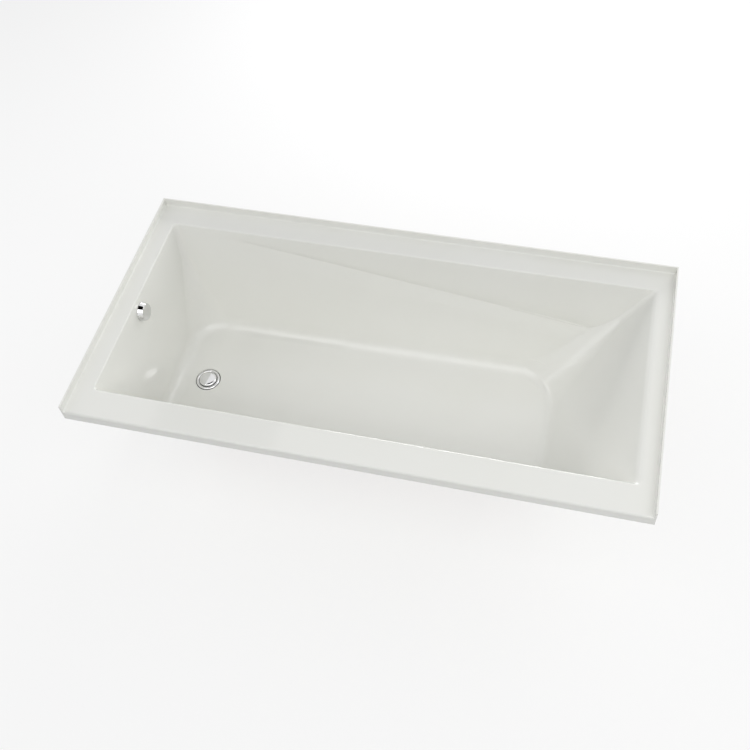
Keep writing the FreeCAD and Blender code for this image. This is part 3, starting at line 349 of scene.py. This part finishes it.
def turned_piece(name, profile, solid=False, sides=96):
    """Ring pulled through (radius, height) points in millimetres, or solid up to its axis."""
    mm = 0.001
    bpy.ops.object.select_all(action="DESELECT")
    radius, height = profile[0]
    bpy.ops.mesh.primitive_circle_add(vertices=sides, radius=radius * mm, location=(0, 0, 0),
                                      fill_type="NGON" if solid else "NOTHING")
    piece = bpy.context.object
    piece.name = name
    piece.data.name = name
    bpy.ops.object.mode_set(mode="EDIT")
    bpy.ops.mesh.select_all(action="SELECT")
    bpy.ops.transform.translate(value=(0, 0, height * mm))
    for next_radius, next_height in profile[1:] + ([] if solid else profile[:1]):
        bpy.ops.mesh.extrude_region_move(
            TRANSFORM_OT_translate={"value": (0, 0, (next_height - height) * mm)})
        if next_radius == 0:
            bpy.ops.mesh.merge(type="CENTER")
            break
        bpy.ops.transform.resize(value=(next_radius / radius, next_radius / radius, 1),
                                 center_override=(0, 0, next_height * mm))
        radius, height = next_radius, next_height
    bpy.ops.mesh.select_all(action="SELECT")
    bpy.ops.mesh.remove_doubles(threshold=0.000001)
    bpy.ops.mesh.normals_make_consistent(inside=False)
    bpy.ops.object.mode_set(mode="OBJECT")
    return piece


def set_place(piece, place):
    """Put a piece built at the origin in its place, and keep that place in its mesh."""
    make_active(piece)
    piece.matrix_world = place
    bpy.ops.object.transform_apply(location=True, rotation=True, scale=True)


# one ridge a turn, with flanks 0.6 mm and a crest 0.2 mm high, and a plain run at each end
thread_pitch, thread_root, thread_crest, plain_run = 1.5, 4.35, 4.98, 0.8
stud_low, stud_high = (corner.z * 1000 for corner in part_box("foot_stud_1"))
thread = [(4.2, stud_low), (thread_root, stud_low + 0.4)]
for turn in range(int((stud_high - stud_low - 2 * plain_run) / thread_pitch)):
    start = stud_low + plain_run + turn * thread_pitch
    thread += [(thread_root, start), (thread_crest, start + 0.6), (thread_crest, start + 0.8),
               (thread_root, start + 1.4)]
thread += [(thread_root, stud_high - 0.6), (3.9, stud_high), (0, stud_high)]
stud_pattern = turned_piece("stud_pattern", thread, solid=True, sides=20)
shade_smooth(stud_pattern, 50.0)

pad_profile = [(23.4, 0.0), (25.0, 1.5), (25.0, 5.0), (23.0, 7.0), (14.5, 8.9), (11.6, 12.0),
               (11.0, 19.0), (10.4, 20.0), (5.4, 20.0), (5.05, 19.6), (5.05, 8.0), (0, 8.0)]
pad_pattern = turned_piece("pad_pattern", pad_profile, solid=True, sides=60)
shade_smooth(pad_pattern, 28.0)
for number in range(1, 7):
    low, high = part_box("foot_stud_%d" % number)
    for pattern, name, material, slot_name, node in (
            (stud_pattern, "threaded_stud_%d", zinc, "zinc", "foot_stud_%d"),
            (pad_pattern, "levelling_pad_%d", nylon, "grey_pad", "foot_pad_%d")):
        piece = bpy.data.objects.new(name % number, pattern.data.copy())
        piece.data.name = name % number
        bpy.context.scene.collection.objects.link(piece)
        set_place(piece, Matrix.Translation(((low.x + high.x) / 2, (low.y + high.y) / 2, 0)))
        dress(piece, material, "foot_%d" % number, node % number)
for pattern in (stud_pattern, pad_pattern):
    bpy.data.objects.remove(pattern)

# ---- Drain ---------------------------------------------------------------------------------------
# A chrome plated brass ring, screwed down through the floor into the elbow, with a rolled crest
# and a sunk seat. Under it, a black rubber bead sticks out just past the ring's edge as a thin dark
# outline: a dark piece that gives painted shade round the ring. The stopper is a chrome plated cap,
# nearly flat with a round shoulder, on a steel stem with a rubber seal.
chrome, shader = new_material("chrome_plated_brass", Metallic=1.0)
polish = mottle(chrome, shader, 1 / 0.006, 2.0, "#DCDCDD", "#E6E6E6")
vary_gloss(chrome, shader, polish.outputs["Fac"], 0.04, 0.09)

rubber, shader = new_material("black_nitrile_rubber", Roughness=0.62, IOR=1.52)
mottle(rubber, shader, 1 / 0.003, 2.0, "#232324", "#323233")

low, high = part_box("drain_flange")
crest_height, cross_depth = 0.0044, 0.0135
drain_place = Matrix.Translation(((low.x + high.x) / 2, (low.y + high.y) / 2,
                                  high.z - crest_height))
ring_profile = [(23.0, 1.0), (36.5, 1.0), (36.5, 1.5), (36.2, 2.3), (35.4, 3.2), (34.2, 4.0),
                (32.9, 4.35), (31.8, 4.4), (30.6, 4.25), (29.4, 3.8), (28.6, 3.2), (27.9, 2.4),
                (27.6, 1.7), (24.0, 1.6), (22.6, 0.6), (20.5, -1.9), (20.5, -29.0), (23.0, -29.0)]
ring = turned_piece("drain_ring", ring_profile)
shade_smooth(ring, 40.0)
set_place(ring, drain_place)
cross = smooth_copy("drain_flange", "drain_ring_cross")
bpy.ops.object.mode_set(mode="EDIT")
bpy.ops.mesh.select_all(action="SELECT")
bpy.ops.mesh.bisect(plane_co=(0, 0, high.z - cross_depth), plane_no=(0, 0, 1),
                    clear_outer=True, use_fill=True)
bpy.ops.object.mode_set(mode="OBJECT")
dress(ring, chrome, node="drain_flange")
dress(cross, chrome)

low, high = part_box("stopper_cap")
cap_height = (high.z - low.z) * 1000
cap_radius = (high.x - low.x) * 500
rim_height, shoulder_steps, crown_steps = 1.2, 7, 9
rise = cap_height - rim_height
crown = 0.78 * cap_radius
crown_drop = 0.10 * rise
cap_profile = [(4.05, 1.2), (4.05, 0.0), (cap_radius - 0.5, 0.0), (cap_radius - 0.1, 0.3),
               (cap_radius, 0.8)]
for step in range(shoulder_steps):
    angle = math.radians(90 * step / shoulder_steps)
    cap_profile.append((crown + (cap_radius - crown) * math.cos(angle),
                        rim_height + (rise - crown_drop) * math.sin(angle)))
for step in range(1, crown_steps):
    radius = crown * (1 - step / crown_steps)
    cap_profile.append((radius, cap_height - crown_drop * (radius / crown) ** 2))
cap_profile.append((0, cap_height))
cap = turned_piece("domed_cap", cap_profile, solid=True)
shade_smooth(cap, 40.0)
set_place(cap, Matrix.Translation(((low.x + high.x) / 2, (low.y + high.y) / 2, low.z)))
dress(cap, chrome, "stopper", "stopper_cap")
# the seal's rubber is drawn wider than the ring, so that it shows round it as a dark outline:
# painted shade at the ring's edge
low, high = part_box("flange_seal")
seal_height = (high.z - low.z) * 1000
seal_and_shade_profile = [(24.0, 0.0), (37.6, 0.0), (38.0, 0.3), (37.8, seal_height * 0.8),
                (37.2, seal_height), (24.0, seal_height)]
seal_and_shade_bead = turned_piece("ring_seal_and_painted_shade", seal_and_shade_profile)
shade_smooth(seal_and_shade_bead, 50.0)
set_place(seal_and_shade_bead, Matrix.Translation(((low.x + high.x) / 2, (low.y + high.y) / 2, low.z)))
dress(seal_and_shade_bead, rubber, node="flange_seal")
for node, name, material, body, slot_name in (
        ("stopper_seal", "cap_seal", rubber, "stopper", "seal"),
        ("stopper_stem", "cap_stem", zinc, "stopper", "zinc"),
        ("drain_gasket", "elbow_gasket", rubber, "tub", "seal")):
    piece = smooth_copy(node, name)
    dress(piece, material, body, node)

# ---- Waste pipes ---------------------------------------------------------------------------------
# Injection moulded black ABS: an elbow under the drain, a tee under the overflow, and plain
# 1 1/2 in tubes between them, glued or held by nuts. Moulded faces are satin.
abs_black, shader = new_material("moulded_black_ABS", Roughness=0.33, IOR=1.53)
satin = mottle(abs_black, shader, 1 / 0.002, 2.0, "#1E1F20", "#292A2B")
roughen(abs_black, shader, satin.outputs["Fac"], strength=0.2, distance=0.0002)
for node, name, edge in (("drain_shoe", "waste_elbow", 0.0), ("waste_arm", "level_tube", 0.0005),
                         ("waste_tee", "branch_tee", 0.0), ("tail_pipe", "tail_tube", 0.0005),
                         ("overflow_pipe", "riser_tube", 0.0005),
                         ("overflow_body", "overflow_elbow", 0.0),
                         ("overflow_plate", "slotted_plate", 0.0)):
    pipe = smooth_copy(node, name, edge=edge)
    dress(pipe, abs_black, node=node)

# ---- Slip nuts -----------------------------------------------------------------------------------
# Moulded white polypropylene ring nuts with eight grips, each pressing a rubber washer on the
# tube. The lifting pin and the knob's spindle are of the same plastic.
polypropylene, shader = new_material("moulded_white_polypropylene", Roughness=0.42, IOR=1.49)
mottle(polypropylene, shader, 1 / 0.008, 2.0, "#DCDCD6", "#E8E8E4")
for node, name, body in (("tee_top_nut", "tee_upper_nut", "tub"),
                         ("tee_side_nut", "tee_branch_nut", "tub"),
                         ("overflow_slip_nut", "riser_nut", "tub"),
                         ("lift_pin", "lifting_pin", "stopper"),
                         ("knob_spindle", "crank_spindle", "knob")):
    nut = smooth_copy(node, name, edge=0.0004)
    dress(nut, polypropylene, body, node)
for node, name in (("slip_washers", "tube_washers"), ("overflow_gasket", "elbow_seal")):
    washer = smooth_copy(node, name)
    dress(washer, rubber, node=node)

# ---- Overflow knob -------------------------------------------------------------------------------
# A die cast, chrome plated drum that hides the overflow holes and turns to lift the stopper. It is
# pressed on the spindle, and its side tapers to a flat face with a narrow rounded edge.
wall_slope = 7.0
overflow_centre = (-0.70075, 0.0055, 0.4366)
overflow_place = Matrix.Translation(overflow_centre) @ Matrix.Rotation(
    math.radians(90 - wall_slope), 4, "Y")
knob_profile = [(5.05, 14.2), (5.05, 8.0), (7.5, 8.0), (7.5, 14.2), (21.6, 14.2), (26.1, 1.4),
                (26.3, 1.2), (27.8, 1.2), (28.0, 1.6), (23.95, 14.6), (23.75, 15.2), (23.35, 15.7),
                (22.8, 15.95), (22.0, 16.0), (10.0, 16.0), (0, 16.0)]
knob = turned_piece("overflow_drum", knob_profile, solid=True)
shade_smooth(knob, 40.0)
set_place(knob, overflow_place)
dress(knob, chrome, "knob", "overflow_knob")
screws = smooth_copy("overflow_screws", "plate_screws")
dress(screws, zinc, node="overflow_screws")

# ---- Control cable -------------------------------------------------------------------------------
# A steel wire that slides in a stiff black nylon casing, 6 mm thick. It leaves the guide under the
# overflow, hangs down beside the riser and turns in along the floor to the elbow under the drain.
casing, shader = new_material("black_nylon_cable_casing", Roughness=0.4, IOR=1.53)
mottle(casing, shader, 1 / 0.0015, 2.0, "#26272A", "#33343A")
cable_route = [(-0.7334, 0.0415, 0.39659), (-0.7334, 0.0415, 0.094), (-0.7334, 0.0415, 0.026),
               (-0.6654, 0.0415, 0.026), (-0.6064, 0.0055, 0.026), (-0.5709, 0.0055, 0.026)]
cable_line = bpy.data.curves.new("cable_casing", "CURVE")
cable_line.dimensions = "3D"
cable_line.resolution_u = 24
cable_line.bevel_depth = 0.003
cable_line.bevel_resolution = 6
cable_line.use_fill_caps = True
run = cable_line.splines.new("NURBS")
run.points.add(len(cable_route) - 1)
for control, place in zip(run.points, cable_route):
    control.co = (*place, 1.0)
run.order_u = 3
run.use_endpoint_u = True
cable = bpy.data.objects.new("cable_casing", cable_line)
bpy.context.scene.collection.objects.link(cable)
dress(cable, casing, node="control_cable")

# ---- Floor and light -----------------------------------------------------------------------------
# White studio paper under the tub, two soft lamps in front, one at each end, a low one behind
# the back flange and an even sky, against a white surround. A felt card over the drain's end is
# seen by reflections only and gives the chrome its dark bands.
bpy.ops.object.select_all(action="DESELECT")
bpy.ops.mesh.primitive_plane_add(size=40.0, location=(0, 0, 0))
floor = bpy.context.object
floor.name = "studio_floor"
paper, shader = new_material("white_studio_paper", Roughness=0.9)
shader.inputs["Base Color"].default_value = linear("#F4F4F4")
shader.inputs["Specular IOR Level"].default_value = 0.0
# to the camera and in reflections, the paper is mostly plain white and still shows the shadow
paper_white = add_node(paper, "ShaderNodeEmission", {"Color": (1, 1, 1, 1), "Strength": 1.0})
path = add_node(paper, "ShaderNodeLightPath")
camera_or_gloss = larger(paper, path.outputs["Is Camera Ray"], path.outputs["Is Glossy Ray"])
paper_share = add_node(paper, "ShaderNodeMath", {1: 0.75}, {0: camera_or_gloss},
                       operation="MULTIPLY")
paper_mix = add_node(paper, "ShaderNodeMixShader", None, {0: paper_share.outputs["Value"],
                                                          1: shader.outputs["BSDF"],
                                                          2: paper_white.outputs["Emission"]})
paper.node_tree.links.new(paper_mix.outputs["Shader"],
                          paper.node_tree.nodes["Material Output"].inputs["Surface"])
floor.data.materials.append(paper)


def softbox(name, width, height, power, place, aim):
    """Rectangular soft lamp at a place, facing a point."""
    lamp_data = bpy.data.lights.new(name, "AREA")
    lamp_data.shape = "RECTANGLE"
    lamp_data.size = width
    lamp_data.size_y = height
    lamp_data.energy = power
    lamp = bpy.data.objects.new(name, lamp_data)
    bpy.context.scene.collection.objects.link(lamp)
    lamp.location = place
    lamp.rotation_euler = (Vector(aim) - Vector(place)).to_track_quat("-Z", "Y").to_euler()


tub_middle = (0, 0, 0.4)
felt, shader = new_material("black_studio_felt", Roughness=1.0)
shader.inputs["Base Color"].default_value = linear("#101010")
shader.inputs["Specular IOR Level"].default_value = 0.0
bpy.ops.object.select_all(action="DESELECT")
bpy.ops.mesh.primitive_plane_add(size=1.0, location=(-0.80, 0.15, 1.6))
flag = bpy.context.object
flag.name = "overhead_felt_flag"
flag.scale = (0.50, 1.00, 1.0)
flag.data.materials.append(felt)
flag.visible_camera = False
flag.visible_diffuse = False
flag.visible_shadow = False
softbox("front_softbox", 3.6, 2.2, 40.0, (0.0, -1.6, 3.0), tub_middle)
softbox("front_right_softbox", 1.8, 1.8, 15.0, (1.8, -1.8, 2.4), tub_middle)
softbox("left_softbox", 1.8, 1.8, 15.0, (-2.6, 0.0, 2.0), tub_middle)
softbox("right_softbox", 1.8, 1.8, 19.0, (2.0, 1.45, 1.9), tub_middle)
softbox("low_back_softbox", 1.6, 1.0, 42.0, (0.0, 2.74, 1.03), tub_middle)

world = bpy.data.worlds.new("white_surround")
bpy.context.scene.world = world
world.use_nodes = True
world.node_tree.nodes.clear()
seen = add_node(world, "ShaderNodeBackground", {"Color": (1, 1, 1, 1), "Strength": 1.0})
sky = add_node(world, "ShaderNodeBackground", {"Color": linear("#F6F8FB"), "Strength": 0.28})
path = add_node(world, "ShaderNodeLightPath")
camera_or_gloss = larger(world, path.outputs["Is Camera Ray"], path.outputs["Is Glossy Ray"])
any_seen = larger(world, camera_or_gloss, path.outputs["Is Transmission Ray"])
mix = add_node(world, "ShaderNodeMixShader", None, {0: any_seen, 1: sky.outputs["Background"],
                                                    2: seen.outputs["Background"]})
add_node(world, "ShaderNodeOutputWorld", None, {"Surface": mix.outputs["Shader"]})
bpy.context.scene.view_settings.view_transform = "Standard"
